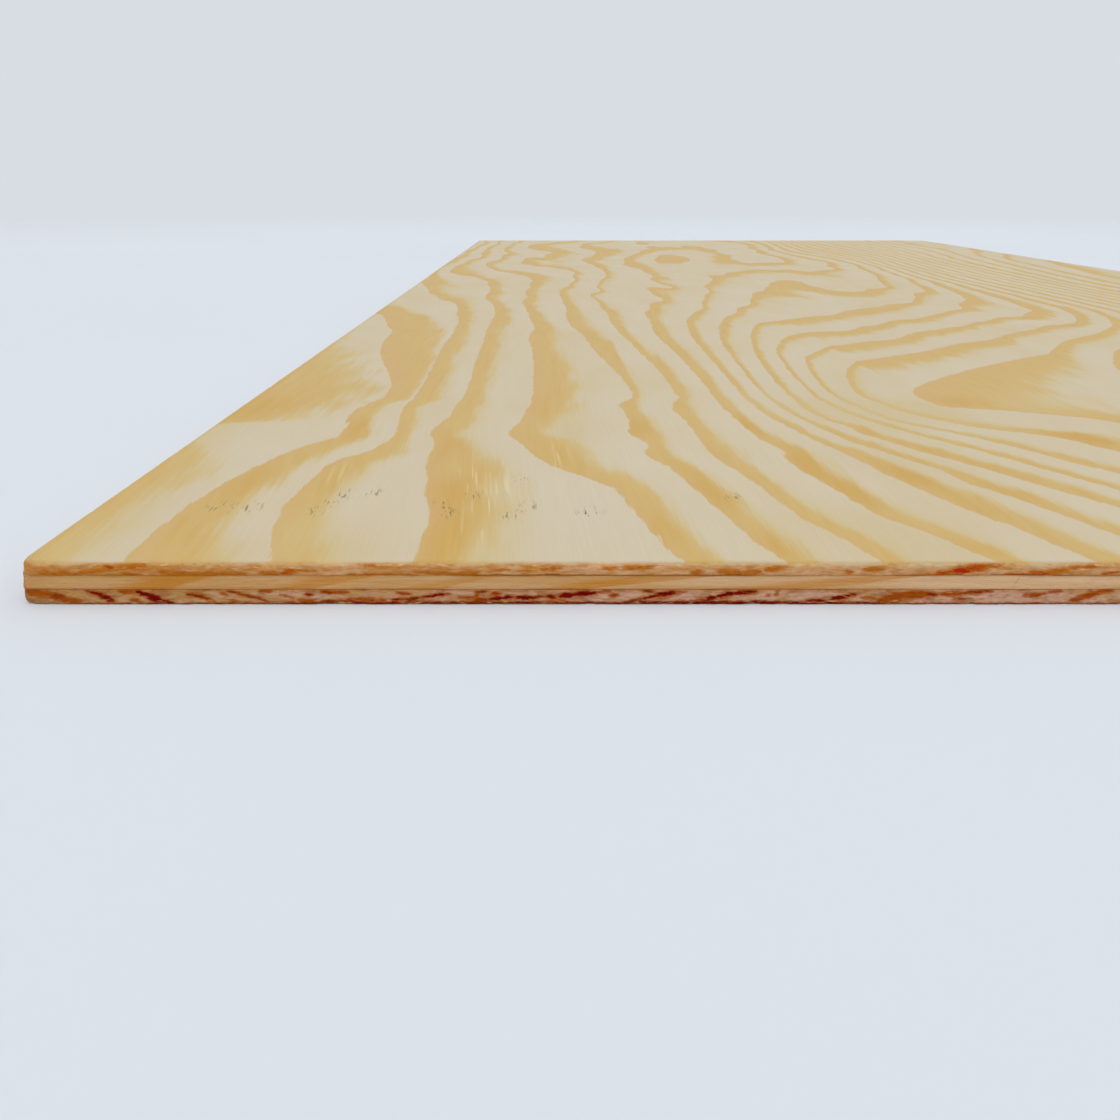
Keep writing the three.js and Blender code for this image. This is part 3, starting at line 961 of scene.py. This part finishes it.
def edge_material(wood, glue_heights):
    """The material of the rim and the edges, where the flat's colour gives way to the edge's along
    the arris, fibre by fibre."""
    past, ends, speckle = wood.past, wood.ends, wood.speckle
    colour, roughness, relief = flat_figure(wood)
    end_colour, mottle = end_grain(wood)
    side_colour, grainy = side_grain(wood)
    seam, stain = glue_lines(wood, glue_heights)
    edge_colour = ends.step(0.2, 0.8).mix(side_colour, end_colour)
    edge_colour = wood.mix(stain, edge_colour, STAIN, "MULTIPLY")

    fringe = speckle(8, 8, detail=1, turn=25).swing(1.2) + speckle(1.8, 1, detail=2, turn=39).swing(1.1)
    fringe = fringe * ends.blend(0.35, 1.0)
    rim = (past + fringe * 0.7).step(-2.2, -0.3) * ends.blend(0.1, 0.55)
    colour = rim.mix(colour, wood.rim)
    reach = past + fringe - wood.fall
    colour = reach.step(ends.blend(-0.4, -1.1), 0.4).mix(colour, edge_colour)

    # Along the arris the pale honey flecks are partly torn fibres and partly painted highlights where the
    # arris catches the light. The brown flecks are chipped wood.
    at_arris = (1 - past.step(0.5, 1.5)) * past.step(-0.8, -0.2) * ends
    chips_and_glints = speckle(2.4, 0.7, detail=2, turn=43)
    colour = (at_arris * (chips_and_glints.step(0.54, 0.72) * 0.6)).mix(colour, wood.honey)
    colour = (at_arris * ((1 - chips_and_glints.step(0.30, 0.44)) * 0.45)).mix(colour, wood.end_brown)
    # Painted shade with some real dirt: the edge turns browner at the upright corners, where their rounding
    # is in shade.
    dirty_shaded_corner = wood.corner_dirt_and_shade * (fringe.step(-0.2, 0.5) + 0.35)
    colour = (dirty_shaded_corner * 0.4).mix(colour, wood.end_brown)
    colour = seam.mix(colour, GLUE)

    on_edge = past.step(-0.6, 0.3)
    relief = on_edge.blend(relief, mottle * 1.2 + grainy * 0.5)
    return wood.finish(colour, on_edge.blend(roughness, 0.9), EDGE_SHINE, relief, *BUMP)


# ---------------------------------------------------------------- the sheet

face = build_veneer(
    "face_veneer", showing=1, grain=GRAIN_Y, arris=0.4, edge_steps=7, spacing=(2.0, 6.0, 0.33, 2.2),
    seed=100, rings=face_rings, streaks=FACE_STREAKS, tones=FACE_TONES, pinkness=EDGE_PINKNESS)
core = build_veneer(
    "core_veneer", showing=0, grain=GRAIN_X, edge_steps=9, spacing=(2.0, 6.0, 0.3, 0.8),
    seed=200, rings=core_rings, streaks=CORE_STREAKS, tones=CORE_TONES, pinkness=CORE_PINKNESS)
back = build_veneer(
    "back_veneer", showing=-1, grain=GRAIN_Y, arris=0.5, edge_steps=9, spacing=(4.0, 7.0, 0.33, 1.0),
    seed=300, rings=back_rings, streaks=BACK_STREAKS_AND_SHADE_LINE, tones=[], pinkness=EDGE_PINKNESS)
face.data.materials.append(edge_material(FaceWood("pine_face_edges"), GLUE_HEIGHTS[1:]))
face.data.materials.append(flat_material(FaceWood("sanded_pine_face")))
core.data.materials.append(edge_material(CoreWood("pine_core"), GLUE_HEIGHTS))
back.data.materials.append(edge_material(BackWood("pine_back_edges"), GLUE_HEIGHTS[:1]))
back.data.materials.append(flat_material(BackWood("pine_back")))


# ---------------------------------------------------------------- floor, light and camera

def round_sweep(radius, curve, height, sides=96):
    """A round floor whose rim curves up into a wall all round. Its sizes are metres."""
    profile = [(radius * share, 0.0) for share in (0.1, 0.25, 0.5, 1)]
    profile += [(radius + curve * math.sin(a), curve * (1 - math.cos(a)))
                for a in np.linspace(0, math.pi / 2, 13)[1:]]
    profile.append((radius + curve, height))
    around = np.linspace(0, 2 * math.pi, sides, endpoint=False)
    points = [(0.0, 0.0, 0.0)]
    points += [(reach * math.cos(a), reach * math.sin(a), up) for reach, up in profile for a in around]
    following = [(i, (i + 1) % sides) for i in range(sides)]
    faces = [(0, 1 + i, 1 + j) for i, j in following]
    for low in range(1, len(points) - sides, sides):
        high = low + sides
        faces += [(low + i, high + i, high + j, low + j) for i, j in following]
    mesh = bpy.data.meshes.new("sweep")
    mesh.from_pydata(points, [], faces)
    mesh.shade_smooth()
    sweep = in_scene("sweep", mesh)
    return sweep


def soft_sun(name, rise, turn, spread, power):
    """Even light from a wide patch of sky. rise is how high its middle is above the horizon, turn its
    bearing from straight in front and spread its width, all in degrees."""
    data = bpy.data.lights.new(name, "SUN")
    data.angle = math.radians(spread)
    data.energy = power
    in_scene(name, data).rotation_euler = (math.radians(90 - rise), 0.0, math.radians(turn))


# The backdrop is plain paper that shines faintly further out, so that it stays pale there.
PAPER_DARK, PAPER_PALE, PAPER_GLOW = (215, 220, 226), (219, 224, 230), (216, 221, 227)
GLOW_START, GLOW_FULL = 850.0, 2300.0
sweep = round_sweep(radius=3.0, curve=0.8, height=1.6)
ground = Shader("pale_paper")
paper = ground.mix(ground.speckle(340, 340, detail=2.0), PAPER_DARK, PAPER_PALE)
tooth = ground.speckle(1.2, 1.2)
sweep.data.materials.append(ground.finish(paper, 0.9, 0.12, tooth, 0.1, 0.05))
rays = ground.add("LightPath").outputs
seen = ground.math("MAXIMUM", rays["Is Camera Ray"], rays["Is Glossy Ray"])
seen = ground.math("MAXIMUM", seen, rays["Is Transmission Ray"])
pale = ground.add("Emission", {"Color": PAPER_GLOW, "Strength": 1.0}).outputs[0]
output = ground.tree.nodes["Material Output"].inputs["Surface"]
away = ground.number("VectorMath", {0: ground.place}, "Value", operation="LENGTH")
lift = seen * away.step(GLOW_START, GLOW_FULL)
backdrop = ground.add("MixShader", {0: lift, 1: output.links[0].from_socket, 2: pale})
ground.feed(output, backdrop.outputs[0])

world = bpy.data.worlds.new("pale_room")
world.use_nodes = True
background = world.node_tree.nodes["Background"]
background.inputs["Color"].default_value = (0.97, 0.985, 1.0, 1.0)
background.inputs["Strength"].default_value = 0.56
bpy.context.scene.world = world
soft_sun("overhead", rise=90, turn=0, spread=70, power=0.45)
soft_sun("front", rise=50, turn=-8, spread=50, power=1.5)

# The camera stands low, close to the front left corner, and looks along the grain.
CAMERA_U, CAMERA_W, CAMERA_RISE = 109.5, -192.1, 74.74      # the rise is above the face
CAMERA_PITCH = 14.683                                       # degrees down from level
FOCAL_PIXELS, FRAME_PIXELS = 1006.2, 1120
SENSOR = 36.0
camera_data = bpy.data.cameras.new("camera")
camera_data.sensor_width = SENSOR
camera_data.lens = FOCAL_PIXELS / FRAME_PIXELS * SENSOR
camera_data.shift_y = -0.1
camera_data.clip_start = 0.01
camera = in_scene("camera", camera_data)
camera.location = ((LEFT + CAMERA_U) * MM, (FRONT + CAMERA_W) * MM, (SHEET_TOP + CAMERA_RISE) * MM)
camera.rotation_euler = (math.radians(90 - CAMERA_PITCH), 0.0, 0.0)
bpy.context.scene.camera = camera

bpy.context.scene.view_settings.view_transform = "Standard"
